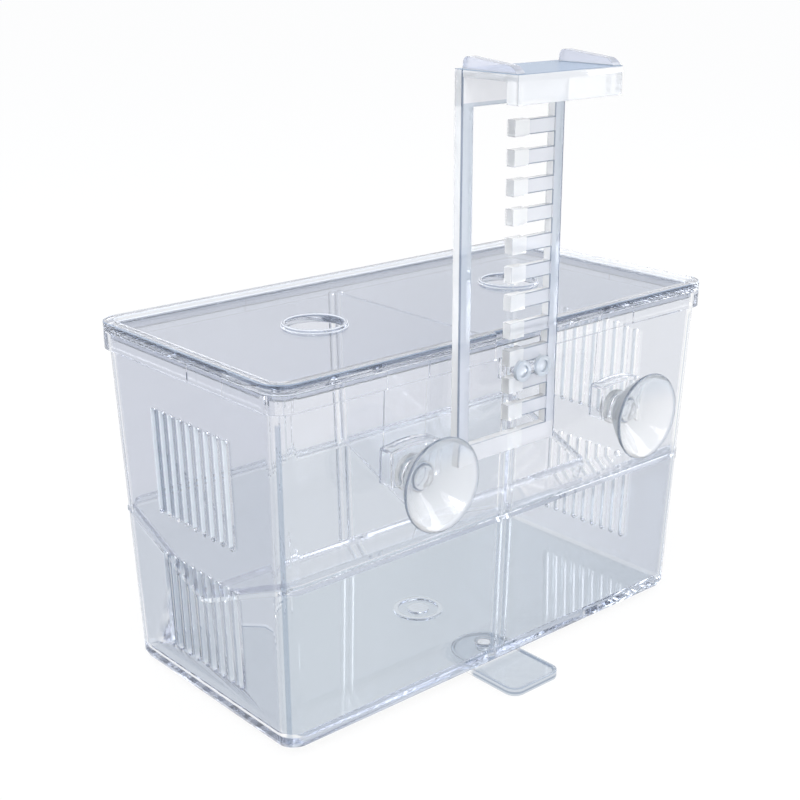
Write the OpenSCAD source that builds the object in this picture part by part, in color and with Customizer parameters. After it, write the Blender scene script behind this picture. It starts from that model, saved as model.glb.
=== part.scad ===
// Hang-on breeding box for aquarium fish, in clear moulded plastic.
// A slotted tank with a lift-off lid, a centre divider and a floor of two sloping panels hangs from
// a notched hanger, steadied by two suction cups and a swivelling foot.
// Everything is drawn from the centre of the tank's underside, with the hanger at the front, -Y.

/* [Tank] */
// Length over the rim
rim_length = 200; // [180:1:230]
// Width over the rim
rim_width = 102.5; // [92:0.5:120]
// Height of the tank, from the underside of its floor to its top edge
tank_height = 121.8; // [118:0.2:128]
// Length of the floor
base_length = 189; // [172:1:190]
// Width of the floor
base_width = 91.4; // [84:0.2:92]
// Thickness of the walls
wall = 2; // [1.6:0.1:2.4]
// Thickness of the floor
floor_thick = 3; // [2.4:0.1:3.6]
// Corner radius of the rim in plan
rim_radius = 8; // [6:0.5:12]
// How far the rim band stands out from the wall
rim_overhang = 1.6; // [1:0.1:2.2]
// Height of the rim band
rim_band = 5.8; // [4:0.2:7]
// Length of the gap in the rim at the middle of the front
rim_gap = 22; // [14:1:30]
// Rounding where the walls meet the floor
base_round = 2.6; // [2.2:0.1:3.2]
// Diameter of the ring in the middle of the floor
floor_ring = 18.7; // [14:0.1:24]
// Width of the ring in the middle of the floor
floor_ring_width = 1.6; // [1:0.1:2.4]
// Height of the ring in the middle of the floor
floor_ring_height = 0.8; // [0.4:0.1:1.5]
// Diameter of the disc inside the ring
floor_disc = 8; // [6:0.1:9]

/* [Steps in the rim and walls] */
// Depth of the shallow steps that the mould's slides leave
step_depth = 0.4; // [0.2:0.1:0.8]
// Width of the step above each suction cup's bracket
front_step = 17.5; // [14:0.5:18]
// Distance of the back steps' inner end from the middle of the tank
back_step_from = 39.5; // [30:0.5:50]
// Distance of the back steps' outer end from the middle of the tank
back_step_to = 79.5; // [70:0.5:84]
// Distance of the end steps' near side from the middle of the tank
end_step_from = 4.8; // [3:0.1:8]
// Distance of the end steps' far side from the middle of the tank
end_step_to = 24; // [20:0.5:30]

/* [Water slots] */
// Slots in each row
slot_count = 9; // [5:1:9]
// Distance between slots
slot_pitch = 5.15; // [4.5:0.05:5.6]
// Width of a slot
slot_width = 2.4; // [1.6:0.1:3]
// Bottom of the lower row
lower_slot_bottom = 13; // [10:0.5:20]
// Length of the lower slots
lower_slot_length = 36; // [26:0.5:37]
// Bottom of the upper row
upper_slot_bottom = 63; // [62:0.5:68]
// Length of the upper slots
upper_slot_length = 38; // [30:0.5:42]

/* [Sloping panels] */
// Height of the panels' top face at the long walls
panel_high = 60.5; // [56:0.5:60.5]
// Height of the panels' top face at the slit
panel_low = 41.5; // [38:0.5:44]
// Thickness of a panel
panel_thick = 2; // [1.6:0.1:2.4]
// Width of the slit between the panels
slit = 3; // [2:0.2:4]
// How far the ledges under the panels stand out from the walls
ledge_depth = 2.2; // [1.6:0.1:3]
// Thickness of the ledges under the panels
ledge_thick = 1.6; // [1.2:0.1:2.4]

/* [Centre divider] */
// Thickness of the divider
divider_thick = 2; // [1.4:0.1:2.4]
// Distance from the top of the tank down to the divider's top edge
divider_drop = 4.2; // [4:0.1:8]
// Width of each rib beside the divider
rib_width = 1.4; // [1:0.1:2]
// How far the ribs stand out from the wall
rib_depth = 1.8; // [1.2:0.1:2]

/* [Lid] */
// Height of the lid's rim
lid_height = 3.3; // [3:0.1:4.5]
// Width of the lid's rim
lid_rim_width = 3.8; // [3.2:0.1:5]
// Thickness of the lid's plate
lid_thick = 1.8; // [1.2:0.1:2.2]
// Thickness of the lip that locates the lid in the tank
lip_thick = 1.4; // [1:0.1:2]
// Depth of the lip below the lid
lip_depth = 3; // [2:0.1:3.2]
// Diameter of a feeding hole
feed_hole = 20; // [12:0.5:26]
// Distance of a feeding hole from the middle of the lid
feed_offset = 46; // [30:1:60]
// Width of the collar round a feeding hole
collar_width = 1.2; // [0.8:0.1:2.4]
// Height of the collar above the lid's plate
collar_height = 1.2; // [0.6:0.1:1.4]

/* [Hanger] */
// Thickness of the ladder
ladder_thick = 3.4; // [3:0.1:4.4]
// Width of the left upright
left_upright = 4.6; // [4:0.1:6]
// Width of the right upright
right_upright = 4; // [3.6:0.1:6]
// Width of the open column beside the fingers
column_width = 17.9; // [17:0.1:20]
// Length of a finger
finger_length = 18.2; // [18:0.1:22]
// How far the fingers' tips lie to the left of the tank's middle
finger_reach = 9.7; // [9:0.1:10.8]
// Height of a finger
finger_height = 5.3; // [4.6:0.1:5.4]
// Number of fingers
finger_count = 11; // [7:1:11]
// Distance between fingers
finger_pitch = 9.25; // [9.2:0.05:10]
// Length of the block at a finger's tip
tip_length = 6.5; // [4:0.5:8]
// How much a finger is thinner than its tip block, on each face
finger_relief = 0.5; // [0.3:0.1:0.8]
// Height of the bottom bar
bottom_bar = 6; // [5:0.5:7]
// Centre of the lowest finger above the hanger's bottom edge
first_finger = 13; // [12.5:0.1:15]
// Bottom edge of the crossbar above the centre of the top finger
crossbar_rise = 8; // [7:0.5:12]
// Height of the crossbar
crossbar = 9; // [6:0.5:12]
// Thickness of the plate on top of the hook
hook_plate = 2.2; // [1.8:0.1:3]
// Room between the ladder and the lip of the hook, for the aquarium's glass
hook_room = 20.3; // [12:0.1:24]
// Thickness of the lip of the hook
hook_lip = 2.5; // [2:0.1:3.5]
// Height of the lip of the hook below the top plate
hook_lip_drop = 6.5; // [5:0.5:12]
// Height of the side flanges above the top plate
flange_rise = 3.8; // [2:0.1:5]
// Thickness of the side flanges
flange_thick = 3.4; // [2:0.1:4]
// Depth of the side flanges where they turn down at the front
flange_depth = 4.6; // [3.6:0.1:6]
// Radius of the bend where the side flanges turn down
flange_bend = 5; // [3:0.1:5.6]
// How much the flanges fall towards the front
flange_fall = 1.4; // [0:0.1:2]
// Gap that holds the studs, counted up from the one under the lowest finger
held_notch = 2; // [2:1:2]

/* [Studs] */
// Distance of the studs below the tank's top edge
stud_drop = 9.4; // [9:0.1:11]
// Distance between the two studs
stud_spacing = 9.3; // [8.4:0.1:9.4]
// Diameter of a stud's head
stud_head = 7; // [6:0.1:7.4]
// Thickness of a stud's head
stud_head_thick = 1.5; // [1:0.1:2.2]
// Diameter of the dish in a stud's head
stud_dish = 4.2; // [3:0.1:4.8]

/* [Suction cups] */
// Distance of a cup from the middle of the tank
cup_offset = 49; // [44:0.5:56]
// Height of the cups' axis
cup_height = 87; // [84:0.5:90]
// Diameter of a cup's rim
cup_rim = 31; // [26:0.5:34]
// Depth of the hollow cup, from its stem to its rim
cup_depth = 12.1; // [9:0.1:14]
// Thickness of the cup's edge
cup_edge = 0.9; // [0.7:0.1:1.4]
// Diameter of the stem
cup_stem = 9.6; // [8:0.1:10]
// Diameter of the head behind the bracket
cup_head = 12.6; // [12.2:0.1:13]
// Thickness of the head
cup_head_thick = 2.6; // [2:0.1:3]
// Diameter of the nub inside the cup
cup_nub = 8; // [6:0.2:9]

/* [Cup brackets] */
// Width of a bracket
bracket_width = 20; // [18:0.5:24]
// Depth of a bracket in front of the rim's wall line
bracket_depth = 5; // [4.8:0.1:6.5]
// Thickness of a bracket's walls
bracket_wall = 1.5; // [1.2:0.1:2]
// Height of a bracket's side above the cups' axis
bracket_rise = 9.7; // [8.4:0.1:11]
// How much a bracket's top is arched
bracket_arch = 1.3; // [0.5:0.1:2]
// Height of a bracket below the cups' axis
bracket_drop = 2; // [1:0.1:4]

/* [Swivel foot] */
// Width of the foot
foot_width = 24; // [20:0.5:30]
// Distance from the pivot to the foot's front edge
foot_reach = 28.5; // [24:0.5:34]
// Thickness of the foot with its raised edge
foot_thick = 2.9; // [2.4:0.1:4]
// Height of the foot's raised edge
foot_edge_height = 0.6; // [0.3:0.1:1]
// Width of the foot's raised edge
foot_edge = 1.2; // [0.8:0.1:2]
// Corner radius at the foot's front
foot_radius = 4.5; // [3:0.5:8]
// Distance of the pivot in front of the tank's centre
pivot_offset = 36; // [32:0.5:38]
// Diameter of the pivot pin
pivot_pin = 4.6; // [4:0.1:6]
// Diameter of the pin's head, above the floor
pivot_head = 7; // [6.8:0.1:9]
// Thickness of the pin's head
pivot_head_thick = 1.2; // [0.8:0.1:2]

/* [Clearances] */
// Between parts that lift out and what holds them
lift_clearance = 0.4; // [0.3:0.05:0.6]
// Between flat faces that rest on each other
seat_clearance = 0.2; // [0.1:0.05:0.3]
// Between the divider and each rib
groove_clearance = 0.5; // [0.3:0.05:0.6]
// Between the hanger and the rim behind it
hanger_clearance = 1.2; // [0.8:0.05:1.4]
// Between the hanger's front and the studs' heads
stud_clearance = 0.3; // [0.2:0.05:0.4]
// Between a stud's neck and the fingers
neck_clearance = 0.25; // [0.2:0.05:0.4]
// Between a cup's stem or head and its bracket
cup_clearance = 0.5; // [0.3:0.05:0.8]
// Round the pivot pin
pivot_clearance = 0.1; // [0.05:0.01:0.1]
// Between the foot and the tank's underside
foot_clearance = 0.3; // [0.2:0.05:0.5]

/* [Hidden] */
$fn = 64;

// A hair of overlap, so that joined solids share no loose face
joint_overlap = 0.2;
// Thickness of the slices that the leaning shell is drawn through
slice_thick = 0.01;
// Share of the rounding at the floor where its curve is steepest
round_share = 0.3;
// Sides of a slot's round end and of a bracket's arch
slot_sides = 24;
arch_sides = 256;

// Tank: its walls lean out towards the rim
top_length = rim_length - 2 * rim_overhang;
top_width = rim_width - 2 * rim_overhang;
wall_radius = rim_radius - rim_overhang;
inner_radius = wall_radius - wall;
band_bottom = tank_height - rim_band;
function outer_x(z) = (base_length + (top_length - base_length) * z / tank_height) / 2;
function outer_y(z) = (base_width + (top_width - base_width) * z / tank_height) / 2;
function inner_x(z) = outer_x(z) - wall;
function inner_y(z) = outer_y(z) - wall;

// Sloping panels: the height of their top face, from the slit to the long wall
panel_outer_y = inner_y(panel_high) - lift_clearance;
panel_slope = (panel_high - panel_low) / (panel_outer_y - slit / 2);
panel_fall = panel_thick * sqrt(1 + panel_slope * panel_slope);
panel_length = 2 * (inner_x(panel_low - panel_fall) - lift_clearance);
function panel_top(y) = panel_low + (y - slit / 2) * panel_slope;

// Divider and the ribs beside it
divider_top = tank_height - divider_drop;
groove_half = divider_thick / 2 + groove_clearance;
rib_outer = groove_half + rib_width;

// Lid
lid_bottom = tank_height + seat_clearance;
lid_plate_top = lid_bottom + lid_thick;

// Hanger: the studs sit in the middle of the held notch
stud_height = tank_height - stud_drop;
hanger_back = rim_width / 2 + hanger_clearance;
hanger_front = hanger_back + ladder_thick;
hook_front = hanger_front + hook_room + hook_lip;
hanger_bottom = stud_height - first_finger - (held_notch - 0.5) * finger_pitch;
top_finger = hanger_bottom + first_finger + (finger_count - 1) * finger_pitch;
crossbar_bottom = top_finger + crossbar_rise;
hook_under = crossbar_bottom + crossbar;
hook_top = hook_under + hook_plate;
finger_tip_x = -finger_reach;
finger_root_x = finger_tip_x + finger_length;
column_left_x = finger_tip_x - column_width;
hanger_left_x = column_left_x - left_upright;
hanger_right_x = finger_root_x + right_upright;

// Studs
stud_neck = finger_pitch - finger_height - 2 * neck_clearance;
stud_head_back = hanger_front + stud_clearance;
stud_pad_front = hanger_back - stud_clearance;
stud_pad_length = stud_spacing + stud_head;

// Cup brackets and cups, measured forward from the tank's centre
bracket_front = rim_width / 2 - rim_overhang + bracket_depth;
bracket_bottom = cup_height - bracket_drop;
bracket_slot = cup_stem + 2 * cup_clearance;
cup_head_front = bracket_front - bracket_wall - cup_clearance;
cup_stem_front = bracket_front + cup_clearance;
cup_rim_front = cup_stem_front + cup_depth;

// Foot
pivot_y = -pivot_offset;
foot_top = -foot_clearance;
foot_bottom = foot_top - foot_thick;

// Origin of the part: the middle of its box in plan, at the height of the foot's underside
origin_shift = [0, (hook_front - rim_width / 2) / 2, -foot_bottom];

clear_plastic = [0.78, 0.83, 0.89, 0.45];
clear_rubber = [0.86, 0.88, 0.9, 0.6];

// Rectangle with round corners, centred
module rounded_rectangle(length, width, radius) {
    square([length - 2 * radius, width], center = true);
    square([length, width - 2 * radius], center = true);
    for (x = [-1, 1], y = [-1, 1])
        translate([x * (length / 2 - radius), y * (width / 2 - radius)])
            circle(radius);
}

// A plate of that outline between two heights
module rounded_plate(length, width, radius, bottom, top) {
    translate([0, 0, bottom])
        linear_extrude(top - bottom)
            rounded_rectangle(length, width, radius);
}

// A thin slice of a leaning shell, drawn in from the wall line
module shell_slice(z, inset, radius) {
    translate([0, 0, z])
        linear_extrude(slice_thick)
            rounded_rectangle(2 * (outer_x(z) - inset), 2 * (outer_y(z) - inset), radius);
}

module tank_outside() {
    hull() {
        shell_slice(0, base_round, wall_radius);
        shell_slice(base_round * round_share, base_round * round_share, wall_radius);
        shell_slice(base_round, 0, wall_radius);
        shell_slice(tank_height - slice_thick, 0, wall_radius);
    }
}

module tank_inside() {
    hull() {
        shell_slice(floor_thick, wall + base_round, inner_radius);
        shell_slice(floor_thick + base_round * round_share, wall + base_round * round_share, inner_radius);
        shell_slice(floor_thick + base_round, wall, inner_radius);
        shell_slice(tank_height + 1, wall, inner_radius);
    }
}

// A cut in a side of the rim band, from one place along it to another, given for the front
module band_cut(from, to, depth) {
    translate([from, -rim_width / 2 - 1, band_bottom - 1])
        cube([to - from, depth + 1, rim_band + 2]);
}

// Band round the rim, with a gap at the middle of the front and shallow steps on every side
module rim_band_ring() {
    difference() {
        rounded_plate(rim_length, rim_width, rim_radius, band_bottom, tank_height);
        band_cut(-rim_gap / 2, rim_gap / 2, rim_overhang + wall / 2);
        for (side = [-1, 1]) {
            band_cut(side * cup_offset - front_step / 2, side * cup_offset + front_step / 2, step_depth);
            translate([side * rim_length / 2, -(end_step_from + end_step_to) / 2, band_bottom + rim_band / 2])
                cube([2 * step_depth, end_step_to - end_step_from, rim_band + 2], center = true);
        }
        rotate([0, 0, 180]) {
            band_cut(back_step_from, back_step_to, step_depth);
            band_cut(-back_step_to, -back_step_from, step_depth);
        }
    }
}

// Raised strip on the front wall, from a suction cup's bracket up to the rim band
module bracket_strip(side) {
    bottom = cup_height + bracket_rise;
    top = band_bottom + joint_overlap;
    translate([side * cup_offset, 0, 0])
        along_x(front_step, [
            [-outer_y(bottom) + wall / 2, bottom],
            [-outer_y(bottom) - step_depth, bottom],
            [-outer_y(top) - step_depth, top],
            [-outer_y(top) + wall / 2, top]
        ]);
}

// Ring on the floor where the plastic enters the mould, with a disc in its middle
module floor_rings() {
    translate([0, 0, floor_thick - joint_overlap]) {
        difference() {
            cylinder(h = floor_ring_height + joint_overlap, d = floor_ring);
            translate([0, 0, -1])
                cylinder(h = floor_ring_height + 2, d = floor_ring - 2 * floor_ring_width);
        }
        cylinder(h = floor_ring_height + joint_overlap, d = floor_disc);
    }
}

// One upright slot with round ends, right through a leaning end wall
module water_slot(side, y, bottom, length) {
    from = inner_x(bottom) - wall;
    to = outer_x(bottom + length) + wall;
    translate([side * (from + to) / 2, y, bottom])
        rotate([90, 0, 90])
            linear_extrude(to - from, center = true) {
                translate([0, length / 2])
                    square([slot_width, length - slot_width], center = true);
                for (end = [slot_width / 2, length - slot_width / 2])
                    translate([0, end])
                        circle(slot_width / 2, $fn = slot_sides);
            }
}

module water_slots() {
    for (side = [-1, 1], i = [0 : slot_count - 1]) {
        y = (i - (slot_count - 1) / 2) * slot_pitch;
        water_slot(side, y, lower_slot_bottom, lower_slot_length);
        water_slot(side, y, upper_slot_bottom, upper_slot_length);
    }
}

// Points of an outline in the plane of Y and height are drawn along X
module along_x(length, points) {
    rotate([90, 0, 90])
        linear_extrude(length, center = true)
            polygon(points);
}

// Two upright ribs on a long wall, which follow its lean and guide the divider
module divider_ribs(side) {
    bottom = floor_thick - joint_overlap;
    for (x = [-1, 1])
        translate([x * (groove_half + rib_width / 2), 0, 0])
            along_x(rib_width, [
                [side * (inner_y(bottom) + wall / 2), bottom],
                [side * (inner_y(divider_top) + wall / 2), divider_top],
                [side * (inner_y(divider_top) - rib_depth), divider_top],
                [side * (inner_y(bottom) - rib_depth), bottom]
            ]);
}

// Ledge along a long wall, under a panel's outer edge
module long_ledge(side) {
    y = inner_y(panel_high);
    top = panel_top(y - ledge_depth) - panel_fall - seat_clearance;
    along_x(panel_length, [
        [side * (y + wall / 2), top],
        [side * (y - ledge_depth), top],
        [side * (y - ledge_depth), top - ledge_thick / 2],
        [side * (y + wall / 2), top - ledge_thick - ledge_depth / 2]
    ]);
}

// Ledge on an end wall, under the V of the two panels
module end_ledge(side) {
    low = panel_low - panel_fall - seat_clearance;
    high = panel_top(panel_outer_y) - panel_fall - seat_clearance;
    from = inner_x(panel_low) - ledge_depth;
    to = inner_x(panel_high) + wall / 2;
    translate([side * (from + to) / 2, 0, 0])
        along_x(to - from, [
            [-panel_outer_y, high],
            [-slit / 2, low],
            [slit / 2, low],
            [panel_outer_y, high],
            [panel_outer_y, high - ledge_thick],
            [slit / 2, low - ledge_thick],
            [-slit / 2, low - ledge_thick],
            [-panel_outer_y, high - ledge_thick]
        ]);
}

// Outline of a bracket in front view, about the cup's axis
module bracket_outline(inset) {
    half = bracket_width / 2;
    arch_radius = (half * half + bracket_arch * bracket_arch) / (2 * bracket_arch);
    intersection() {
        translate([-half + inset, -bracket_drop - inset])
            square([bracket_width - 2 * inset, bracket_drop + bracket_rise + bracket_arch + inset]);
        translate([0, bracket_rise + bracket_arch - arch_radius])
            circle(arch_radius - inset, $fn = arch_sides);
    }
}

// Hood on the front wall with a slot, open at the bottom, for the stem of a suction cup
module cup_bracket(side) {
    back = outer_y(bracket_bottom) - wall / 2;
    translate([side * cup_offset, 0, cup_height])
        rotate([90, 0, 0])
            difference() {
                translate([0, 0, back])
                    linear_extrude(bracket_front - back)
                        bracket_outline(0);
                translate([0, 0, back - 1])
                    linear_extrude(bracket_front - bracket_wall - back + 1)
                        bracket_outline(bracket_wall);
                translate([0, 0, back])
                    cylinder(h = bracket_depth + 4 * wall, d = bracket_slot);
                translate([-bracket_slot / 2, -bracket_drop - 1, back])
                    cube([bracket_slot, bracket_drop + 1, bracket_depth + 4 * wall]);
            }
}

// Two headed studs on a pad, joined by a web, that the hanger's fingers lock behind
module stud_pair() {
    wall_y = outer_y(stud_height) - wall / 2;
    translate([0, 0, stud_height])
        rotate([90, 0, 0]) {
            translate([-stud_pad_length / 2, -stud_head / 2, wall_y])
                cube([stud_pad_length, stud_head, stud_pad_front - wall_y]);
            translate([-stud_spacing / 2, -stud_neck / 4, wall_y])
                cube([stud_spacing, stud_neck / 2, stud_head_back + stud_head_thick / 2 - wall_y]);
            for (side = [-1, 1])
                translate([side * stud_spacing / 2, 0, 0])
                    difference() {
                        union() {
                            translate([0, 0, wall_y])
                                cylinder(h = stud_head_back + stud_head_thick / 2 - wall_y, d = stud_neck);
                            translate([0, 0, stud_head_back])
                                cylinder(h = stud_head_thick, d = stud_head);
                        }
                        translate([0, 0, stud_head_back + stud_head_thick / 2])
                            cylinder(h = stud_head_thick, d = stud_dish);
                    }
        }
}

module tank() {
    color(clear_plastic)
        difference() {
            union() {
                difference() {
                    union() {
                        tank_outside();
                        rim_band_ring();
                    }
                    tank_inside();
                    water_slots();
                }
                floor_rings();
                for (side = [-1, 1]) {
                    divider_ribs(side);
                    long_ledge(side);
                    end_ledge(side);
                    cup_bracket(side);
                    bracket_strip(side);
                }
                stud_pair();
            }
            translate([0, pivot_y, -1])
                cylinder(h = floor_thick + 2, d = pivot_pin + 2 * pivot_clearance);
        }
}

// One sloping panel. Its outer corners are round, as the tank's are, and a notch in its outer edge
// clears the divider's ribs
module sloping_panel(side) {
    color(clear_plastic)
        difference() {
            intersection() {
                along_x(panel_length, [
                    [side * slit / 2, panel_low],
                    [side * panel_outer_y, panel_high],
                    [side * panel_outer_y, panel_high - panel_fall],
                    [side * slit / 2, panel_low - panel_fall]
                ]);
                rounded_plate(panel_length, 2 * panel_outer_y, inner_radius, 0, tank_height);
            }
            translate([-rib_outer - lift_clearance,
                    side * panel_outer_y - (rib_depth + lift_clearance), panel_low])
                cube([2 * (rib_outer + lift_clearance), 2 * (rib_depth + lift_clearance), tank_height]);
        }
}

module front_sloping_panel() {
    sloping_panel(-1);
}

module back_sloping_panel() {
    sloping_panel(1);
}

// Upright plate across the tank. Its sides lean with the walls and its foot fits the V of the panels
module centre_divider() {
    side_top = inner_y(divider_top) - lift_clearance;
    side_foot = panel_outer_y - lift_clearance;
    foot = panel_top(side_foot) + lift_clearance;
    low = panel_low + lift_clearance;
    color(clear_plastic)
        along_x(divider_thick, [
            [-side_top, divider_top],
            [-side_foot, foot],
            [-slit / 2, low],
            [slit / 2, low],
            [side_foot, foot],
            [side_top, divider_top]
        ]);
}

module lid() {
    lip_bottom = lid_bottom - lip_depth;
    lip_inset = wall + lift_clearance;
    lip_length = 2 * (outer_x(lip_bottom) - lip_inset);
    lip_width = 2 * (outer_y(lip_bottom) - lip_inset);
    lip_radius = inner_radius - lift_clearance;
    color(clear_plastic)
        difference() {
            union() {
                difference() {
                    rounded_plate(rim_length, rim_width, rim_radius, lid_bottom, lid_bottom + lid_height);
                    rounded_plate(rim_length - 2 * lid_rim_width, rim_width - 2 * lid_rim_width,
                        rim_radius - lid_rim_width, lid_plate_top, lid_bottom + lid_height + 1);
                }
                difference() {
                    rounded_plate(lip_length, lip_width, lip_radius, lip_bottom, lid_bottom + joint_overlap);
                    rounded_plate(lip_length - 2 * lip_thick, lip_width - 2 * lip_thick,
                        lip_radius - lip_thick, lip_bottom - 1, lid_bottom);
                }
                for (side = [-1, 1])
                    translate([side * feed_offset, 0, lid_bottom])
                        cylinder(h = lid_thick + collar_height, d = feed_hole + 2 * collar_width);
            }
            translate([-rim_gap / 2, -rim_width / 2 - 1, lid_bottom - 1])
                cube([rim_gap, rim_overhang + 1, lid_height + 2]);
            for (side = [-1, 1])
                translate([side * feed_offset, 0, lid_bottom - 1])
                    cylinder(h = lid_height + 2, d = feed_hole);
        }
}

// A block of the hanger, given by its left edge, back face, bottom edge and size
module hanger_block(x, back, z, length, depth, height) {
    translate([x, -back - depth, z])
        cube([length, depth, height]);
}

// A finger of the ladder and the thicker block at its tip
module finger(z) {
    hanger_block(finger_tip_x + tip_length - joint_overlap, hanger_back + finger_relief,
        z - finger_height / 2 + finger_relief / 2, finger_length - tip_length + 2 * joint_overlap,
        ladder_thick - 2 * finger_relief, finger_height - finger_relief);
    hanger_block(finger_tip_x, hanger_back, z - finger_height / 2, tip_length, ladder_thick, finger_height);
}

// Flange at one side of the hook, round at its back end, which turns down at the front to edge the lip
module hook_flange(x) {
    end = flange_rise / 2;
    top_back = hook_top + flange_rise;
    top_front = top_back - flange_fall;
    translate([x + flange_thick / 2, 0, 0])
        along_x(flange_thick, concat([
            [-hanger_front + joint_overlap, hook_under],
            [-hanger_front + joint_overlap, hook_top]
        ], [
            for (turn = [90 : -15 : 0])
                [-hanger_front - end + end * sin(turn), top_back - end + end * cos(turn)]
        ], [
            for (turn = [0 : 15 : 90])
                [-hook_front + flange_bend * (1 - sin(turn)), top_front - flange_bend * (1 - cos(turn))]
        ], [
            [-hook_front, hook_under - hook_lip_drop],
            [-hook_front + flange_depth, hook_under - hook_lip_drop],
            [-hook_front + flange_depth, hook_under]
        ]));
}

module hanger() {
    width = hanger_right_x - hanger_left_x;
    color(clear_plastic) {
        hanger_block(hanger_left_x, hanger_back, hanger_bottom, left_upright, ladder_thick,
            hook_top - hanger_bottom);
        hanger_block(finger_root_x, hanger_back, hanger_bottom, right_upright, ladder_thick,
            hook_top - hanger_bottom);
        hanger_block(hanger_left_x, hanger_back, hanger_bottom, width, ladder_thick, bottom_bar);
        hanger_block(hanger_left_x, hanger_back, crossbar_bottom, width, ladder_thick, crossbar);
        hanger_block(hanger_left_x, hanger_back, hook_under, width, hook_front - hanger_back, hook_plate);
        hanger_block(hanger_left_x, hook_front - hook_lip, hook_under - hook_lip_drop, width, hook_lip,
            hook_lip_drop + joint_overlap);
        for (i = [0 : finger_count - 1])
            finger(hanger_bottom + first_finger + i * finger_pitch);
        hook_flange(hanger_left_x);
        hook_flange(hanger_right_x - flange_thick);
    }
}

// Suction cup turned about its axis: head, stem, a bell that thins towards its edge, and a nub inside
module suction_cup(side) {
    steps = 8;
    stem = cup_stem / 2;
    flare = cup_rim / 2 - stem;
    throat = cup_stem_front + 2 * cup_edge;
    hollow = cup_rim_front - throat;
    bell_depth = cup_rim_front - cup_edge - cup_stem_front;
    head_back = cup_head_front - cup_head_thick;
    color(clear_rubber)
        translate([side * cup_offset, 0, cup_height])
            rotate([90, 0, 0])
                rotate_extrude()
                    polygon(concat([
                        [0, head_back],
                        [cup_head / 2 - cup_edge, head_back],
                        [cup_head / 2, head_back + cup_edge],
                        [cup_head / 2, cup_head_front],
                        [stem, cup_head_front]
                    ], [
                        for (i = [0 : steps])
                            [stem + flare * i / steps, cup_stem_front + bell_depth * (1 - cos(90 * i / steps))]
                    ], [
                        [cup_rim / 2, cup_rim_front],
                        [cup_rim / 2 - cup_edge, cup_rim_front]
                    ], [
                        for (i = [1 : steps])
                            [cup_rim / 2 - cup_edge - (flare - cup_edge + stem - cup_nub / 2) * i / steps,
                                throat + hollow * (1 - sin(90 * i / steps))]
                    ], [
                        [cup_nub / 2, throat + cup_edge],
                        [cup_nub / 2 - cup_edge, throat + 2 * cup_edge],
                        [0, throat + 2 * cup_edge]
                    ]));
}

module left_suction_cup() {
    suction_cup(-1);
}

module right_suction_cup() {
    suction_cup(1);
}

// Outline of the foot: round about the pivot, with two small round corners at the front
module foot_outline(inset) {
    half = foot_width / 2 - inset;
    radius = foot_radius - inset;
    front = -foot_reach + inset;
    circle(half);
    translate([-half, front + radius])
        square([2 * half, -front - radius]);
    translate([-half + radius, front])
        square([2 * (half - radius), radius + 1]);
    for (x = [-1, 1])
        translate([x * (half - radius), front + radius])
            circle(radius);
}

module swivel_foot() {
    plate_top = foot_top - foot_edge_height;
    head_bottom = floor_thick + seat_clearance;
    color(clear_plastic)
        translate([0, pivot_y, 0]) {
            translate([0, 0, foot_bottom])
                linear_extrude(plate_top - foot_bottom)
                    foot_outline(0);
            translate([0, 0, plate_top - joint_overlap])
                linear_extrude(foot_edge_height + joint_overlap)
                    difference() {
                        foot_outline(0);
                        foot_outline(foot_edge);
                    }
            translate([0, 0, plate_top - joint_overlap])
                cylinder(h = head_bottom - plate_top + 2 * joint_overlap, d = pivot_pin);
            translate([0, 0, head_bottom])
                cylinder(h = pivot_head_thick, d = pivot_head);
        }
}

module in_place() {
    translate(origin_shift)
        children();
}

in_place() tank();
in_place() front_sloping_panel();
in_place() back_sloping_panel();
in_place() centre_divider();
in_place() lid();
in_place() hanger();
in_place() left_suction_cup();
in_place() right_suction_cup();
in_place() swivel_foot();
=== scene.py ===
import math

import bmesh
import bpy
import numpy as np
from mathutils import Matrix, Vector


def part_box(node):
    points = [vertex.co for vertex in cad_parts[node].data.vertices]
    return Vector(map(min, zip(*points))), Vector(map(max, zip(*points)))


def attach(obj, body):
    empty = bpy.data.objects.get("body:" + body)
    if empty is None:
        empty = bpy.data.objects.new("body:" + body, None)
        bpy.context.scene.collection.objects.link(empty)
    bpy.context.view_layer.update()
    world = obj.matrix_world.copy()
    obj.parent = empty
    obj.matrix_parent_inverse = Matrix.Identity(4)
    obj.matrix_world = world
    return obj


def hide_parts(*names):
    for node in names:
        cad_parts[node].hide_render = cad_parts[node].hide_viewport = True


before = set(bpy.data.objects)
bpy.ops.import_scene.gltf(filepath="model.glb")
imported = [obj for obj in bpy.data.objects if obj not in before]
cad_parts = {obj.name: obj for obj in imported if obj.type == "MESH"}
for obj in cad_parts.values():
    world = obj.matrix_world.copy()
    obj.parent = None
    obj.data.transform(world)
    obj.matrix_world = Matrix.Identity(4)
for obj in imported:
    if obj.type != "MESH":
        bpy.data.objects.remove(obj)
scene = bpy.context.scene
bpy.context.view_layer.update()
MM = 0.001

# Tank
# The slotted box that holds the water and the fish: one clear styrene moulding with its rim band,
# the studs for the hanger, the brackets for the suction cups and the ribs and ledges inside.
TANK_EDGE = 0.35 * MM
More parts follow.
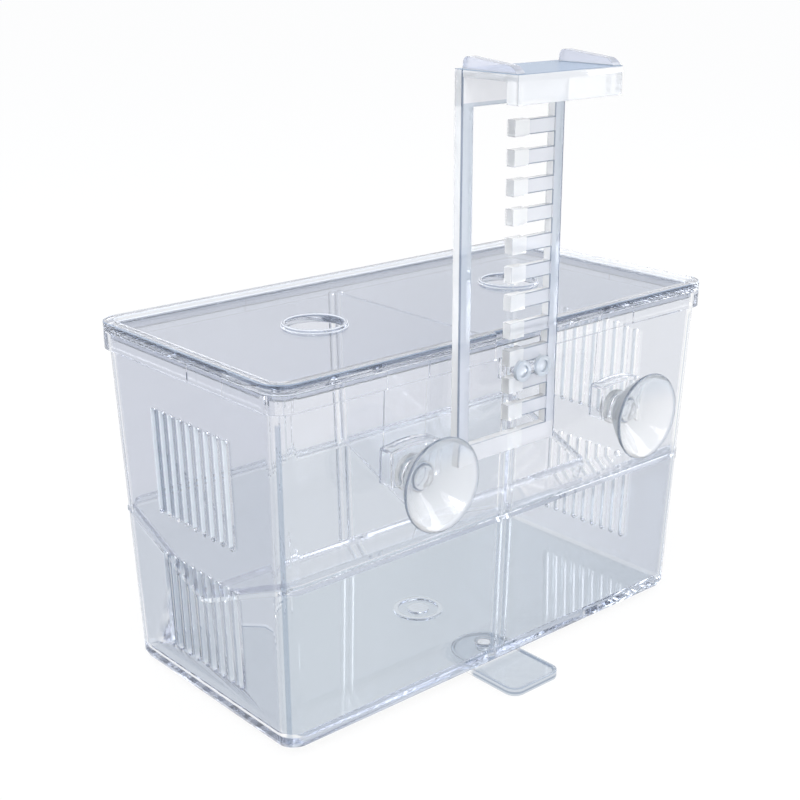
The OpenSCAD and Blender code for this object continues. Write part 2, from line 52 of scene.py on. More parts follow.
# Colour that a sheet of the plastic lets through in each part of the moulding: its own faint tint at the
# front, and greyer tints on the low front, the back, the ends and the floor as painted shade
FRONT_TINT = (0.98, 0.985, 0.99, 1.0)
FRONT_LOW_TINT = (0.91, 0.93, 0.95, 1.0)
FRONT_LOW_RIGHT_TINT = (0.72, 0.75, 0.80, 1.0)
BACK_TINT = (0.73, 0.75, 0.81, 1.0)
BACK_LEFT_TINT = (0.75, 0.77, 0.83, 1.0)
BACK_LOW_TINT = (0.70, 0.74, 0.79, 1.0)
END_TINT = (0.77, 0.79, 0.84, 1.0)
FLOOR_TINT = (0.64, 0.69, 0.745, 1.0)
# Painted light: the sides of the slots are kept clear, so they stand out bright against the walls' painted
# shade
SLOT_TINT = (1.0, 1.0, 1.0, 1.0)
# Painted shade: slate on one side of each slot of the left end and in rings on the studs' heads
SLOT_SHADE_TINT = (0.13, 0.18, 0.27, 1.0)
# Painted light: the bars between the slots of the right end paler than the rest of that end
SLOT_BAR_LIGHT_TINT = (0.90, 0.91, 0.95, 1.0)
# Painted shade: slate bands down the corners of the walls
CORNER_SHADE_TINT = (0.50, 0.57, 0.67, 1.0)
# Painted shade: a greyer band and a slate line along the bottom of the long walls
BOTTOM_SHADE_TINT = (0.74, 0.80, 0.87, 1.0)
BOTTOM_SHADE_LINE_TINT = (0.26, 0.32, 0.42, 1.0)
# Painted slate blue on the rounded edges, as the light they bend so far makes them look, but not on those low
# inside
PAINTED_EDGE_TINT = (0.28, 0.34, 0.44, 1.0)
SOFT_EDGE_TINT = (0.85, 0.88, 0.92, 1.0)
# Painted highlight: diffuse white on the sides of the slots, more on the high slots, and faintly on the studs
SLOT_HIGHLIGHT_COLOUR = (0.90, 0.95, 1.0, 1.0)
SLOT_HIGHLIGHT_SHARE = 0.45
HIGH_SLOT_HIGHLIGHT_SHARE = 0.4
STUD_HIGHLIGHT_SHARE = 0.4
# Slate blue that long paths through the plastic turn, as at its edges
DEPTH_COLOUR = (0.30, 0.36, 0.50, 1.0)
TANK_DENSITY = 4.5
PLASTIC_IOR = 1.45


def mm(*lengths):
    """Lengths in millimetres, given back in metres."""
    return [length * MM for length in lengths]


# The walls lean out, so a place on them is told by how far it lies from the tank's middle once the
# lean is taken off: across for the end walls and ahead for the long ones. A pair of lengths says
# where a zone starts and where it is full, and four say where it starts, is full, fades and ends.
TANK_MIDDLE = 13.7 * MM
END_LEAN = 0.032
LONG_LEAN = 0.0324
END_WALL = mm(92.1, 92.3)
END_SKIN = mm(92.2, 92.4, 94.5, 94.6)
SLOT_DEPTH = mm(92.5, 92.6, 94.2, 94.3)
FRONT_FACE = mm(43.9, 44.1)
BACK_WALL = mm(56.8, 57.0)
LOW_WALL = mm(66, 60)
LOW_FRONT_RIGHT = mm(-60, 90)
HIGH_BACK_RIGHT = mm(10, 50)
BOTTOM = mm(6.8, 6.5)
BOTTOM_LINE = mm(4.4, 4.1)
FLOOR_TOP = mm(6.9, 6.4)
FLOOR_LENGTH = mm(91.5, 90.5)
FLOOR_WIDTH = mm(43.0, 42.0)
CORNER_DIFFERENCE = 49.4 * MM
CORNER_WIDTH = mm(1.4, 1.0)
CORNER_OUTSIDE = mm(134.4, 134.6)
CORNER_TOP = mm(116, 115)
FLOOR_RING = mm(12, 11)
LOW_END = mm(84, 86)
LOW_END_BACK = mm(-25, -22)
LOW_INSIDE = mm(10, 9)
SLOT_PITCH = 5.15 * MM
SLOT_ROWS = mm(67.0, 67.5, 103.5, 104.0), mm(16.5, 17.0, 51.5, 52.0)
SLOTS_HALF = mm(23.5, 23.2)
SLOT_WHITE = mm(0.7, 0.8, 1.28, 1.32)
SLOT_SHADE = mm(-2.15, -1.9, -1.1, -1.0)
SLOT_SHADE_BACK = mm(-8, 32)
HIGH_SLOTS = mm(56, 60)
RIGHT_HALF = mm(0, 1)
LEFT_HALF = mm(0, -1)
STUD_ASIDE = 4.65 * MM
STUD_HEIGHT = 115.6 * MM
STUD_FRONT = mm(-42.3, -42.5)
STUD_HEAD = mm(3.7, 3.6)
STUD_RIM = mm(2.8, 3.0)
STUD_DISH_RING = mm(1.7, 1.9, 2.2, 2.4)


class Socket:
    """A shader value. The operators add the Math node that works them out."""

    def __init__(self, tree, output):
        self.tree = tree
        self.output = output

    def node(self, kind, settings=None, **values):
        """Adds a node of a type, sets its settings, then fills its sockets by name or by number."""
        made = self.tree.nodes.new(kind)
        for name, value in (settings or {}).items():
            setattr(made, name, value)
        for name, value in values.items():
            numbered = name.startswith("in") and name[2:].isdigit()
            key = int(name[2:]) if numbered else name.replace("_", " ")
            if isinstance(value, Socket):
                self.tree.links.new(value.output, made.inputs[key])
            else:
                made.inputs[key].default_value = value
        return made

    def out(self, made, name=0):
        """An output of a node, as a socket of the same tree."""
        return Socket(self.tree, made.outputs[name])

    def math(self, operation, first, second=0.0):
        return self.out(self.node("ShaderNodeMath", {"operation": operation}, in0=first, in1=second))

    def __add__(self, other):
        return self.math("ADD", self, other)

    __radd__ = __add__

    def __mul__(self, other):
        return self.math("MULTIPLY", self, other)

    __rmul__ = __mul__

    def __sub__(self, other):
        return self.math("SUBTRACT", self, other)

    def __rsub__(self, other):
        return self.math("SUBTRACT", other, self)

    def __abs__(self):
        return self.math("ABSOLUTE", self)

    def parts(self):
        """The x, y and z of a vector."""
        split = self.node("ShaderNodeSeparateXYZ", Vector=self)
        return [self.out(split, axis) for axis in range(3)]

    def rise(self, low, high):
        """0 up to the low value, 1 from the high one and even between them."""
        return self.out(self.node("ShaderNodeMapRange", Value=self, From_Min=low, From_Max=high))

    def within(self, start, full, fading, end):
        """0 up to the start, 1 from the full value to the fading one, and 0 again from the end."""
        return self.rise(start, full) * self.rise(end, fading)

    def radius(self, other):
        """How far a place lies from a middle: the root of the sum of both squares."""
        return self.math("SQRT", self * self + other * other)

    def beside_step(self, pitch):
        """How far this value lies past the nearest whole number of pitches."""
        moved = self + 0.5 * pitch
        return self.math("FLOORED_MODULO", moved, pitch) - 0.5 * pitch

    def tint(self, first, second):
        """The first colour where this value is 0 and the second where it is 1."""
        return self.out(self.node("ShaderNodeMix", {"data_type": "RGBA"}, in0=self, in6=first, in7=second), 2)


def start_material(name):
    """An empty node material, as its object, its output node and a socket of object coordinates."""
    material = bpy.data.materials.new(name)
    material.use_nodes = True
    tree = material.node_tree
    tree.nodes.clear()
    place = tree.nodes.new("ShaderNodeTexCoord")
    return material, tree.nodes.new("ShaderNodeOutputMaterial"), Socket(tree, place.outputs["Object"])


def clear_plastic(name, colour, density, clearness=1.0, waviness=0.0, painted_light_share=None, painted_light_colour=SLOT_HIGHLIGHT_COLOUR):
    """Moulded clear plastic with slow flow waves and fine haze, as a polished mould leaves them. A mask
    can mix in a diffuse colour as painted light, as the painted highlight on the sides of a slot and the
    painted shade on the hook's top."""
    material, output, place = start_material(name)
    waves = place.out(place.node("ShaderNodeTexNoise", Vector=place, Scale=28.0, Detail=1.0), "Fac")
    haze = place.out(place.node("ShaderNodeTexNoise", Vector=place, Scale=160.0, Detail=4.0), "Fac")
    bump = place.node("ShaderNodeBump", Height=waves, Strength=waviness, Distance=0.5 * MM)
    shader = place.node(
        "ShaderNodeBsdfPrincipled",
        Base_Color=colour(place),
        Roughness=0.01 + haze * 0.02,
        Normal=place.out(bump),
        Transmission_Weight=clearness,
        IOR=PLASTIC_IOR,
    )
    if painted_light_share:
        painted_patch = place.node("ShaderNodeBsdfDiffuse", Color=painted_light_colour)
        shader = place.node("ShaderNodeMixShader",
                            in0=painted_light_share(place), in1=place.out(shader), in2=place.out(painted_patch))
    place.tree.links.new(shader.outputs[0], output.inputs["Surface"])
    depth = place.node("ShaderNodeVolumeAbsorption", Color=DEPTH_COLOUR, Density=density)
    place.tree.links.new(depth.outputs[0], output.inputs["Volume"])
    return material


def slot_places(place):
    """How far a place lies from the middle of its slot along Y, and 1 between the slots' ends."""
    _, y, z = place.parts()
    high, low = [z.within(*row) for row in SLOT_ROWS]
    return (y - TANK_MIDDLE).beside_step(SLOT_PITCH), (high + low) * abs(y - TANK_MIDDLE).rise(*SLOTS_HALF)


def stud_places(place):
    """How far a place lies from the axis of its stud, and 1 on the studs' heads."""
    x, y, z = place.parts()
    radius = (abs(x) - STUD_ASIDE).radius(z - STUD_HEIGHT)
    return radius, y.rise(*STUD_FRONT) * radius.rise(*STUD_HEAD)


def tank_painted_highlight(place):
    """Painted highlight: white on the side of each slot that looks to the front, more on the high slots, and
    faintly on the studs.
    """
    x, _, z = place.parts()
    beside, row = slot_places(place)
    wall = (abs(x) - END_LEAN * z).within(*END_SKIN)
    _, stud = stud_places(place)
    share = SLOT_HIGHLIGHT_SHARE + HIGH_SLOT_HIGHLIGHT_SHARE * z.rise(*HIGH_SLOTS)
    return beside.within(*SLOT_WHITE) * row * wall * share + STUD_HIGHLIGHT_SHARE * stud


def tank_colour(place):
    """The front is the clearest side, then the ends, the back and the thick floor, greyer as painted
    shade. The slot sides stay clear and the right end's bars paler as painted light. Painted slate lines
    of shade mark the front's bottom, the shaded sides of the slots, the studs and the front corners."""
    x, y, z = place.parts()
    across = abs(x) - END_LEAN * z
    ahead = abs(y - TANK_MIDDLE) - LONG_LEAN * z
    low_wall = z.rise(*LOW_WALL)
    low_front = x.rise(*LOW_FRONT_RIGHT).tint(FRONT_LOW_TINT, FRONT_LOW_RIGHT_TINT)
    front = low_wall.tint(FRONT_TINT, low_front)
    high_back = x.rise(*HIGH_BACK_RIGHT).tint(BACK_LEFT_TINT, BACK_TINT)
    back_wall = (y - LONG_LEAN * z).rise(*BACK_WALL)
    long_walls = back_wall.tint(front, low_wall.tint(high_back, BACK_LOW_TINT))
    front_face = ahead.rise(*FRONT_FACE)
    long_walls = (z.rise(*BOTTOM) * front_face).tint(long_walls, BOTTOM_SHADE_TINT)

    beside, row = slot_places(place)
    end_wall = across.rise(*END_WALL)
    ends = (row * x.rise(*RIGHT_HALF)).tint(END_TINT, SLOT_BAR_LIGHT_TINT)
    walls = end_wall.tint(long_walls, ends)
    walls = (z.rise(*BOTTOM_LINE) * front_face).tint(walls, BOTTOM_SHADE_LINE_TINT)
    floor_plate = z.rise(*FLOOR_TOP) * across.rise(*FLOOR_LENGTH) * abs(y - TANK_MIDDLE).rise(*FLOOR_WIDTH)
    tint = across.within(*SLOT_DEPTH).tint(floor_plate.tint(walls, FLOOR_TINT), SLOT_TINT)

    shade = beside.within(*SLOT_SHADE) * row * x.rise(*LEFT_HALF) * end_wall
    shade = shade * (0.4 + 0.6 * y.rise(*SLOT_SHADE_BACK))
    radius, stud = stud_places(place)
    stud_rings = stud * (radius.rise(*STUD_RIM) + radius.within(*STUD_DISH_RING))
    tint = (shade + stud_rings).tint(tint, SLOT_SHADE_TINT)
    corner = abs(across - ahead - CORNER_DIFFERENCE).rise(*CORNER_WIDTH)
    corner = corner * (across + ahead).rise(*CORNER_OUTSIDE) * z.rise(*CORNER_TOP)
    return corner.tint(tint, CORNER_SHADE_TINT)


def tank_edge_colour(place):
    """Painted slate on the edges, but clear for the low rings in the middle of the floor and under the end
    walls.
    """
    x, y, z = place.parts()
    rings = abs(x).rise(*FLOOR_RING) * abs(y - TANK_MIDDLE).rise(*FLOOR_RING)
    low_ends = abs(x).rise(*LOW_END) * y.rise(*LOW_END_BACK)
    return ((rings + low_ends) * z.rise(*LOW_INSIDE)).tint(PAINTED_EDGE_TINT, SOFT_EDGE_TINT)


def moulded_copy(node, edge, material, edge_material):
    """The CAD node's mesh with its triangles merged into faces and every sharp edge rounded."""
    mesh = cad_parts[node].data.copy()
    shape = bmesh.new()
    shape.from_mesh(mesh)
    bmesh.ops.remove_doubles(shape, verts=shape.verts, dist=0.002 * MM)
    bmesh.ops.dissolve_limit(shape, angle_limit=math.radians(0.4), verts=shape.verts, edges=shape.edges)
    shape.to_mesh(mesh)
    shape.free()
    mesh.name = node + "_moulding"
    mesh.materials.clear()
    mesh.materials.append(material)
    mesh.materials.append(edge_material)
    piece = bpy.data.objects.new(node + "_moulding", mesh)
    scene.collection.objects.link(piece)
    rounding = piece.modifiers.new("edges", "BEVEL")
    rounding.width = edge
    rounding.segments = 2
    rounding.limit_method = "ANGLE"
    rounding.angle_limit = math.radians(35)
    rounding.use_clamp_overlap = True
    rounding.material = 1
    return piece


def settle(piece, node, body):
    """Lets the piece stand for its CAD node and ride on its body."""
    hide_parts(node)
    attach(piece, body)


tank_plastic = clear_plastic("tank_clear_styrene", tank_colour, TANK_DENSITY, waviness=0.003,
                             painted_light_share=tank_painted_highlight)
tank_edges = clear_plastic("tank_rounded_edges", tank_edge_colour, TANK_DENSITY, clearness=0.6)
settle(moulded_copy("tank", TANK_EDGE, tank_plastic, tank_edges), "tank", "tank")

# Sloping panels
# Two loose plates that make the V floor, moulded in clear styrene and resting on ledges inside the
# tank. The fry fall through the slit between them.
INNER_TINT = (0.96, 0.965, 0.98)
INNER_DENSITY = 3.0
CLOUD_SHARE = 0.97


def even_colour(tint):
    """One tint with faint clouds, from the granules that the plastic was melted from."""
    def colour(place):
        clouds = place.out(place.node("ShaderNodeTexNoise", Vector=place, Scale=20.0, Detail=2.0), "Fac")
        return clouds.tint((*tint, 1.0), (*[CLOUD_SHARE * share for share in tint], 1.0))
    return colour


inner_plastic = clear_plastic("inner_clear_styrene", even_colour(INNER_TINT), INNER_DENSITY, waviness=0.003)
for node, body in (("front_sloping_panel", "front_panel"), ("back_sloping_panel", "back_panel")):
    settle(moulded_copy(node, TANK_EDGE, inner_plastic, inner_plastic), node, body)

# Centre divider
# A loose plate of the same clear styrene that slides down between the ribs of the long walls and
# parts the upper space into two rooms.
settle(moulded_copy("centre_divider", TANK_EDGE, inner_plastic, inner_plastic),
       "centre_divider", "divider")

# Lid
# A plate with a raised rim and two collared feeding holes, one clear styrene moulding. It only lies
# on the tank, where a lip under its rim locates it.
# Painted shade: the plate greyer than its rim and more so to the right, with slate lines and edges along the
# rim's top at the front and the left
LID_LEFT_SHADE_TINT = (0.69, 0.72, 0.79, 1.0)
LID_RIGHT_SHADE_TINT = (0.60, 0.64, 0.72, 1.0)
LID_RIM_TINT = (0.92, 0.93, 0.95, 1.0)
LID_SHADE_LINE_TINT = (0.20, 0.25, 0.34, 1.0)
LID_PALE_EDGE_TINT = (0.80, 0.83, 0.88, 1.0)
LID_DENSITY = 7.0
LID_EDGE = 0.3 * MM
LID_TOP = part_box("lid")[1][2]
LID_LINE = [LID_TOP - depth for depth in mm(1.5, 1.3, 0.4, 0.3)]
LID_LINE_BACK = mm(55, 50)
LID_LINE_RIGHT = mm(94, 90)
LID_RIM_FOOT = [LID_TOP - depth for depth in mm(0.7, 0.9)]
PLATE_LENGTH = mm(96.2, 96.0)
PLATE_WIDTH = mm(47.5, 47.3)
PLATE_SHADE = mm(-90, 60)
HOLE_ASIDE = 46 * MM
COLLAR = mm(13, 12.5)
LID_BACK = mm(52, 54)
LID_LEFT_END = mm(-99, -95)
LID_RIGHT_END = mm(88, 92)


def lid_colour(place):
    """Painted shade: the wide plate darker than the rim round it and more so to the right, and the rim with a
    slate line under its top in front.
    """
    x, y, z = place.parts()
    plate = abs(x).rise(*PLATE_LENGTH) * abs(y - TANK_MIDDLE).rise(*PLATE_WIDTH)
    plate_tint = x.rise(*PLATE_SHADE).tint(LID_LEFT_SHADE_TINT, LID_RIGHT_SHADE_TINT)
    line = z.within(*LID_LINE) * (1 - plate) * y.rise(*LID_LINE_BACK) * x.rise(*LID_LINE_RIGHT)
    return line.tint(plate.tint(LID_RIM_TINT, plate_tint), LID_SHADE_LINE_TINT)


def lid_edge_colour(place):
    """Painted slate along the top of the rim at the front and the left, paler elsewhere."""
    x, y, z = place.parts()
    collar = (abs(x) - HOLE_ASIDE).radius(y - TANK_MIDDLE).rise(*COLLAR)
    behind = y.rise(*LID_BACK) * x.rise(*LID_LEFT_END) + x.rise(*LID_RIGHT_END)
    pale = collar + behind + z.rise(*LID_RIM_FOOT)
    return pale.rise(0.0, 1.0).tint(PAINTED_EDGE_TINT, LID_PALE_EDGE_TINT)


lid_plastic = clear_plastic("lid_clear_styrene", lid_colour, LID_DENSITY)
lid_edges = clear_plastic("lid_rounded_edges", lid_edge_colour, LID_DENSITY, clearness=0.2)
settle(moulded_copy("lid", LID_EDGE, lid_plastic, lid_edges), "lid", "lid")

# Hanger
# The ladder of fingers that sits on the tank's studs, with the hook that goes over the aquarium's
# edge: one clear styrene moulding, moved up or down from notch to notch.
# Painted light and shade: the narrow sides stay clear and bright, the broad front faces, fingers, crossbars
# and flanges are greyer, the uprights more so higher up, and slate marks the fingers' rims, the outer edges
# of the front and the top of the hook
HANGER_TINT = (0.98, 0.985, 0.99, 1.0)
HANGER_FRONT_SHADE_TINT = (0.60, 0.66, 0.74, 1.0)
UPRIGHT_LOW_TINT = (0.76, 0.79, 0.86, 1.0)
FINGER_TINT = (0.82, 0.84, 0.89, 1.0)
CROSSBAR_TINT = (0.90, 0.90, 0.93, 1.0)
HOOK_TOP_SHADE_TINT = (0.22, 0.30, 0.38, 1.0)
HOOK_TOP_SHADE_COLOUR = (0.32, 0.38, 0.47, 1.0)
HOOK_TOP_SHADE_SHARE = 0.6
FLANGE_TINT = (0.76, 0.78, 0.86, 1.0)
HANGER_SHADE_LINE_TINT = (0.22, 0.27, 0.36, 1.0)
HANGER_DENSITY = 7.0
HANGER_EDGE = 0.3 * MM
HANGER_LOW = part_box("hanger")[0][2]
HANGER_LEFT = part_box("hanger")[0][0]
HANGER_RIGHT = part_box("hanger")[1][0]
HANGER_SIDE = mm(0.45, 0.35)
LADDER_FRONT = mm(-42.30, -42.20, -41.60, -41.55)
UPRIGHT_FADE = mm(120, 150)
LOW_CROSSBAR = [HANGER_LOW + height for height in mm(6.0, 5.9)]
HIGH_CROSSBAR = mm(203.4, 203.5)
FINGERS = mm(-9.9, -9.8, 8.5, 8.6)
FINGER_TIPS = mm(-9.9, -9.8, -3.1, -3.0)
FINGER_TIPS_TOP = mm(203, 202)
FIRST_FINGER = 13.0 * MM
FINGER_PITCH = 9.25 * MM
FINGER_RIM = mm(2.0, 2.15)
HOOK_TOP = mm(213.2, 213.3, 213.5, 213.6)
FLANGES = mm(213.6, 213.7)


def hanger_colour(place):
    """Painted shade: the broad front faces and the top of the hook are greyer than the narrow sides, with
    slate lines at the fingers' rims and the outer edges of the front.
    """
    x, y, z = place.parts()
    tip = x.within(*FINGER_TIPS) * z.rise(*FINGER_TIPS_TOP)
    fingers = x.within(*FINGERS)
    bars = z.rise(*LOW_CROSSBAR) + z.rise(*HIGH_CROSSBAR)
    front = z.rise(*UPRIGHT_FADE).tint(UPRIGHT_LOW_TINT, HANGER_FRONT_SHADE_TINT)
    front = fingers.tint(front, FINGER_TINT)
    front = bars.tint(front, CROSSBAR_TINT)
    above = abs((z - HANGER_LOW - FIRST_FINGER).beside_step(FINGER_PITCH))
    rims = above.rise(*FINGER_RIM) * fingers * (1 - bars)
    sides = x.rise(*[HANGER_LEFT + inset for inset in HANGER_SIDE])
    sides = sides + x.rise(*[HANGER_RIGHT - inset for inset in HANGER_SIDE])
    front = (rims + sides).tint(front, HANGER_SHADE_LINE_TINT)
    tint = (y.within(*LADDER_FRONT) * (1 - tip)).tint(HANGER_TINT, front)
    tint = z.rise(*FLANGES).tint(tint, FLANGE_TINT)
    return z.within(*HOOK_TOP).tint(tint, HOOK_TOP_SHADE_TINT)


def hook_top_painted_shade(place):
    """Painted shade: a dark diffuse patch on the top of the hook's plate between its flanges."""
    _, _, z = place.parts()
    return z.within(*HOOK_TOP) * HOOK_TOP_SHADE_SHARE


hanger_plastic = clear_plastic("hanger_clear_styrene", hanger_colour, HANGER_DENSITY, clearness=0.65,
                               painted_light_share=hook_top_painted_shade, painted_light_colour=HOOK_TOP_SHADE_COLOUR)
hanger_edges = clear_plastic("hanger_rounded_edges", lambda place: PAINTED_EDGE_TINT, HANGER_DENSITY, clearness=0.6)
settle(moulded_copy("hanger", HANGER_EDGE, hanger_plastic, hanger_edges), "hanger", "hanger")

# Suction cups
# Two cups of soft clear PVC, pushed up into their brackets: a head behind the bracket, a stem, a
# bell that thins to its edge and a dished nub in the middle of the hollow.
CUP_ASIDE = 49 * MM
CUP_HEIGHT = 90.2 * MM
CUP_RIM = 15.5 * MM
CUP_STEM = 4.8 * MM
CUP_HEAD = 6.3 * MM
CUP_EDGE = 0.9 * MM
CUP_NUB = 4.0 * MM
HEAD_FRONT = 2.6 * MM
STEM_FRONT = 5.1 * MM
RIM_FRONT = 17.2 * MM
HEAD_BACK_ROUND = 0.9 * MM
HEAD_FRONT_ROUND = 0.4 * MM
STEM_FILLET = 0.3 * MM
NUB_RISE = 1.1 * MM
NUB_ROUND = 0.7 * MM
DISH_CENTRE = 9.6 * MM
DISH_RADIUS = 8.2 * MM
CUP_SIDES = 96
BELL_STEPS = 20
QUARTER = math.pi / 2
CONE_SHARE = 0.5
PVC_TINT = (0.93, 0.96, 0.99, 1.0)
PVC_CLOUD_TINT = (0.88, 0.92, 0.97, 1.0)
# Painted highlight: white in a wedge below the nub
PVC_FAN_HIGHLIGHT_TINT = (1.0, 1.0, 1.0, 1.0)
PVC_DENSITY = 7.0
PVC_IOR = 1.5
# Painted slate at the rim and painted shade in the groove round the nub
RIM_ZONE = mm(15.0, 15.3)
GROOVE_ZONE = mm(3.9, 4.1, 4.4, 4.7)
FAN_ZONE = mm(5, -4)


def arc(radius, depth, size, start, end, count):
    """Points of a round corner: its centre plus its size times the cosine and sine of even turns."""
    turn = np.radians(np.linspace(start, end, count))
    return np.stack([radius + size * np.cos(turn), depth + size * np.sin(turn)], axis=1)


def cup_profile():
    """Radius and depth from the head's back to the middle of the nub. The bell's outside falls with
    the cosine and its inside with the sine of a quarter turn, both mixed with a straight cone."""
    soft = 0.5 * CUP_EDGE
    turn = np.radians(np.linspace(4, 84, BELL_STEPS))
    straight = turn / QUARTER
    bend = 1 - CONE_SHARE
    outer_depth = RIM_FRONT - CUP_EDGE - STEM_FRONT
    throat = STEM_FRONT + 2 * CUP_EDGE
    outside = np.stack([
        CUP_STEM + (CUP_RIM - CUP_STEM) * straight,
        STEM_FRONT + outer_depth * (CONE_SHARE * straight + bend * (1 - np.cos(turn))),
    ], axis=1)
    inside = np.stack([
        CUP_NUB + (CUP_RIM - CUP_EDGE - CUP_NUB) * (1 - straight),
        throat + (RIM_FRONT - throat) * (CONE_SHARE * (1 - straight) + bend * (1 - np.sin(turn))),
    ], axis=1)
    return np.concatenate([
        [[0.0, 0.0]],
        arc(CUP_HEAD - HEAD_BACK_ROUND, HEAD_BACK_ROUND, HEAD_BACK_ROUND, -90, 0, 6),
        arc(CUP_HEAD - HEAD_FRONT_ROUND, HEAD_FRONT - HEAD_FRONT_ROUND, HEAD_FRONT_ROUND, 0, 90, 4),
        arc(CUP_STEM + STEM_FILLET, HEAD_FRONT + STEM_FILLET, STEM_FILLET, 270, 180, 4),
        outside,
        arc(CUP_RIM - soft, RIM_FRONT - soft, soft, -40, 130, 8),
        inside,
        arc(CUP_NUB - NUB_ROUND, throat + NUB_RISE, NUB_ROUND, 0, 90, 6),
        arc(0.0, throat + DISH_CENTRE, DISH_RADIUS, 290, 270, 6),
    ])


def turned(name, profile, centre_x, back_y, centre_z, material):
    """A surface of revolution about an axis along Y: each point of the profile goes round by the
    cosine and sine of the turn in X and Z, and its depth runs forward from the back."""
    turns = np.radians(np.arange(CUP_SIDES) * 360 / CUP_SIDES)
    rings = profile[1:-1]
    grid = np.stack([
        centre_x + rings[:, None, 0] * np.cos(turns),
        np.broadcast_to(back_y - rings[:, 1:2], (len(rings), CUP_SIDES)),
        centre_z + rings[:, None, 0] * np.sin(turns),
    ], axis=-1).reshape(-1, 3)
    poles = np.array([[centre_x, back_y - profile[0, 1], centre_z],
                      [centre_x, back_y - profile[-1, 1], centre_z]])
    corner = np.arange((len(rings) - 1) * CUP_SIDES).reshape(-1, CUP_SIDES)
    beside = np.roll(corner, -1, axis=1)
    quads = np.stack([corner, beside, beside + CUP_SIDES, corner + CUP_SIDES], axis=-1).reshape(-1, 4)
    first, last = len(grid), len(grid) + 1
    ring = np.arange(CUP_SIDES)
    end = first - CUP_SIDES
    faces = quads.tolist()
    faces += np.stack([np.full(CUP_SIDES, first), np.roll(ring, -1), ring], axis=1).tolist()
    faces += np.stack([np.full(CUP_SIDES, last), end + ring, end + np.roll(ring, -1)], axis=1).tolist()
    mesh = bpy.data.meshes.new(name)
    mesh.from_pydata(np.concatenate([grid, poles]).tolist(), [], faces)
    mesh.polygons.foreach_set("use_smooth", [True] * len(mesh.polygons))
    mesh.materials.append(material)
    piece = bpy.data.objects.new(name, mesh)
    scene.collection.objects.link(piece)
    return piece


def soft_clear_pvc(name):
    """Soft PVC: part clear and part cloudy, with painted slate at the rim, painted shade in the groove round
    the nub and a painted white highlight below the nub.
    """
    material, output, place = start_material(name)
    x, _, z = place.parts()
    aside, above = x - CUP_ASIDE * x.math("SIGN", x), z - CUP_HEIGHT
    radius = aside.radius(above)
    lines = radius.rise(*RIM_ZONE) + radius.within(*GROOVE_ZONE)
    fan = (above - 0.5 * aside).rise(*FAN_ZONE)
    haze = place.out(place.node("ShaderNodeTexNoise", Vector=place, Scale=90.0, Detail=3.0), "Fac")
    clouds = place.out(place.node("ShaderNodeTexNoise", Vector=place, Scale=40.0, Detail=1.0), "Fac")
    bump = place.node("ShaderNodeBump", Height=haze, Strength=0.05, Distance=0.3 * MM)
    clouds_and_highlight = fan.tint(clouds.tint(PVC_TINT, PVC_CLOUD_TINT), PVC_FAN_HIGHLIGHT_TINT)
    shader = place.node(
        "ShaderNodeBsdfPrincipled",
        Base_Color=lines.tint(clouds_and_highlight, PAINTED_EDGE_TINT),
        Roughness=0.03 + 0.04 * haze,
        Normal=place.out(bump),
        Transmission_Weight=0.75,
        IOR=PVC_IOR,
    )
    place.tree.links.new(shader.outputs[0], output.inputs["Surface"])
    depth = place.node("ShaderNodeVolumeAbsorption", Color=DEPTH_COLOUR, Density=PVC_DENSITY)
    place.tree.links.new(depth.outputs[0], output.inputs["Volume"])
    return material


cup_rubber = soft_clear_pvc("cup_soft_pvc")
for side in ("left", "right"):
    node = side + "_suction_cup"
    low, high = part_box(node)
    centre_x, centre_z = (low[0] + high[0]) / 2, (low[2] + high[2]) / 2
    cup = turned(node + "_bell", cup_profile(), centre_x, high[1], centre_z, cup_rubber)
    settle(cup, node, side + "_cup")

# Swivel foot
# A flat clear plate with a raised edge, on a pin through the tank's floor, that turns out in front
# of the tank and keeps it off the aquarium's glass.
# Painted shade: the part out in front greyer than the part under the tank, with a slate band low down and
# slate edges in front
FOOT_SHADE_TINT = (0.44, 0.51, 0.60, 1.0)
FOOT_UNDER_TINT = (0.97, 0.975, 0.985, 1.0)
FOOT_SHADE_LINE_TINT = (0.16, 0.21, 0.30, 1.0)
FOOT_DENSITY = 20.0
FOOT_LINE = mm(0.7, 0.8, 1.6, 1.7)
FOOT_UNDER = mm(-30.5, -28.5)
FOOT_EDGE_UNDER = mm(-31.5, -29.5)


def foot_colour(place):
    """Painted shade: greyer where it stands out in front than under the tank, where it lies against the
    floor, with a slate band low down.
    """
    _, y, z = place.parts()
    out_in_front = z.within(*FOOT_LINE).tint(FOOT_SHADE_TINT, FOOT_SHADE_LINE_TINT)
    return y.rise(*FOOT_UNDER).tint(out_in_front, FOOT_UNDER_TINT)


def foot_edge_colour(place):
    """Painted slate on the edges in front of the tank, and clear under it."""
    _, y, _ = place.parts()
    return y.rise(*FOOT_EDGE_UNDER).tint(PAINTED_EDGE_TINT, FOOT_UNDER_TINT)


foot_plastic = clear_plastic("foot_clear_styrene", foot_colour, FOOT_DENSITY)
foot_edges = clear_plastic("foot_rounded_edges", foot_edge_colour, FOOT_DENSITY, clearness=0.6)
settle(moulded_copy("swivel_foot", TANK_EDGE, foot_plastic, foot_edges),
       "swivel_foot", "foot")

# Studio
# A plain pale floor under soft light from a pale room and three large lamps. Straight rays and
# those through gloss or plastic see both white.
FLOOR_HALF = 6.0
FLOOR_SEEN_SHARE = 0.92
PAPER = (0.9, 0.9, 0.9, 1.0)
WHITE = (1.0, 1.0, 1.0, 1.0)
ROOM = (0.82, 0.86, 0.93, 1.0)
LAMP_AIM = Vector((0, 0, 0.07))
LAMPS = (
    ("key", (-0.7, -0.6, 1.3), 0.8, 14.0),
    ("fill", (1.0, -0.4, 0.8), 0.8, 6.0),
    ("back", (-1.0, 1.1, 0.6), 0.7, 5.0),
)


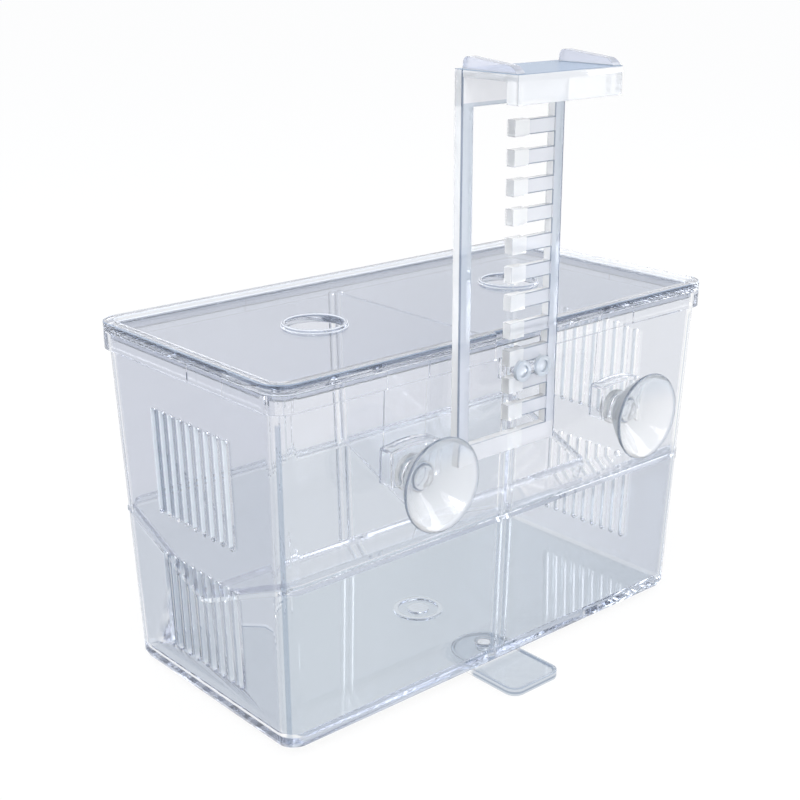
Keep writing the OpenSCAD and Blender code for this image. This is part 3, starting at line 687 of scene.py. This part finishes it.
def seen(place):
    """1 for rays from the camera, off gloss and through plastic, and 0 for those that give light."""
    path = place.node("ShaderNodeLightPath")
    direct = place.out(path, "Is Camera Ray") + place.out(path, "Is Glossy Ray")
    return direct + place.out(path, "Is Transmission Ray")


floor_mesh = bpy.data.meshes.new("floor")
floor_mesh.from_pydata(
    [(-FLOOR_HALF, -FLOOR_HALF, 0), (FLOOR_HALF, -FLOOR_HALF, 0), (FLOOR_HALF, FLOOR_HALF, 0),
     (-FLOOR_HALF, FLOOR_HALF, 0)], [], [(0, 1, 2, 3)])
floor = bpy.data.objects.new("floor", floor_mesh)
scene.collection.objects.link(floor)
floor_material, floor_output, place = start_material("white_floor")
paper = place.node("ShaderNodeBsdfDiffuse", Color=PAPER)
glow = place.node("ShaderNodeEmission", Color=WHITE, Strength=1.0)
mixed = place.node("ShaderNodeMixShader",
                   in0=seen(place) * FLOOR_SEEN_SHARE, in1=place.out(paper), in2=place.out(glow))
place.tree.links.new(mixed.outputs[0], floor_output.inputs["Surface"])
floor_mesh.materials.append(floor_material)

world = bpy.data.worlds.new("white_room")
world.use_nodes = True
world.node_tree.nodes.clear()
sky = Socket(world.node_tree, None)
room = sky.node("ShaderNodeBackground", Color=ROOM, Strength=1.0)
white = sky.node("ShaderNodeBackground", Color=WHITE, Strength=1.0)
both = sky.node("ShaderNodeMixShader", in0=seen(sky), in1=sky.out(room), in2=sky.out(white))
world_output = world.node_tree.nodes.new("ShaderNodeOutputWorld")
world.node_tree.links.new(both.outputs[0], world_output.inputs["Surface"])
scene.world = world

for name, lamp_place, size, power in LAMPS:
    lamp_data = bpy.data.lights.new(name, "AREA")
    lamp_data.size = size
    lamp_data.energy = power
    lamp = bpy.data.objects.new(name, lamp_data)
    scene.collection.objects.link(lamp)
    lamp.location = lamp_place
    lamp.rotation_euler = (LAMP_AIM - Vector(lamp_place)).to_track_quat("-Z", "Y").to_euler()

# Camera
# The photograph's view: from the front left, a little above, with the frame's middle off the axis.
TANK_BASE = Vector((0.0, 13.70, 3.2)) * MM
CAMERA_PLACE = Vector((-321.2, -359.2, 247.9)) * MM + TANK_BASE
CAMERA_TURN = math.radians(41.37)
CAMERA_DOWN = math.radians(18.78)
LIGHT_BOUNCES = 160
camera_data = bpy.data.cameras.new("camera")
camera_data.lens = 62.86
camera_data.sensor_width = 36.0
camera_data.shift_x = -0.0085
camera_data.shift_y = 0.0101
camera = bpy.data.objects.new("camera", camera_data)
scene.collection.objects.link(camera)
camera.location = CAMERA_PLACE
camera_aim = Vector((
    math.sin(CAMERA_TURN) * math.cos(CAMERA_DOWN),
    math.cos(CAMERA_TURN) * math.cos(CAMERA_DOWN),
    -math.sin(CAMERA_DOWN),
))
camera.rotation_euler = camera_aim.to_track_quat("-Z", "Y").to_euler()
scene.camera = camera
scene.view_settings.view_transform = "Standard"
# Enough bounces for light that runs along inside the walls to come out at their edges
scene.cycles.max_bounces = LIGHT_BOUNCES
scene.cycles.transmission_bounces = LIGHT_BOUNCES
scene.cycles.glossy_bounces = LIGHT_BOUNCES
